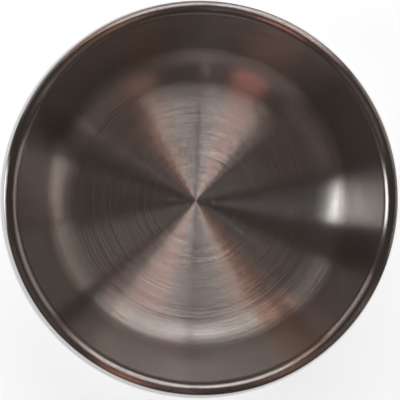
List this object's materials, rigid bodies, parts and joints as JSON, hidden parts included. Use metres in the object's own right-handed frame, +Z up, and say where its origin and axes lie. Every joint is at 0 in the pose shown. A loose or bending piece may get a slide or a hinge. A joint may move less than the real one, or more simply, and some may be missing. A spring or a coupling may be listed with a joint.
{
  "type": "dog bowl",
  "caption": "Round double-walled steel dog bowl with a brushed inside, rolled rim, barrel-shaped outer shell and anti-slip foot ring, for food or water.",
  "frame": {"origin": "on the floor under the bowl, on its axis: the centre of the foot ring's underside", "axes": "+Z up along the bowl's axis of turning, out of its mouth; X and Y are any two square directions"},
  "size_m": [0.2088, 0.2088, 0.07],
  "materials": {
    "liner_steel": "brushed in rings, rim polished",
    "shell_steel": "satin",
    "plate_steel": "mill finish",
    "sealant": "soft silicone",
    "adhesive": "cured film",
    "foot_rubber": "matte"
  },
  "bodies": {
    "root": {"inner_bowl": "liner_steel", "outer_shell": "shell_steel", "rim_seal": "sealant", "base_plate": "plate_steel", "foot_adhesive": "adhesive", "foot_ring": "foot_rubber"}
  },
  "joints": []
}
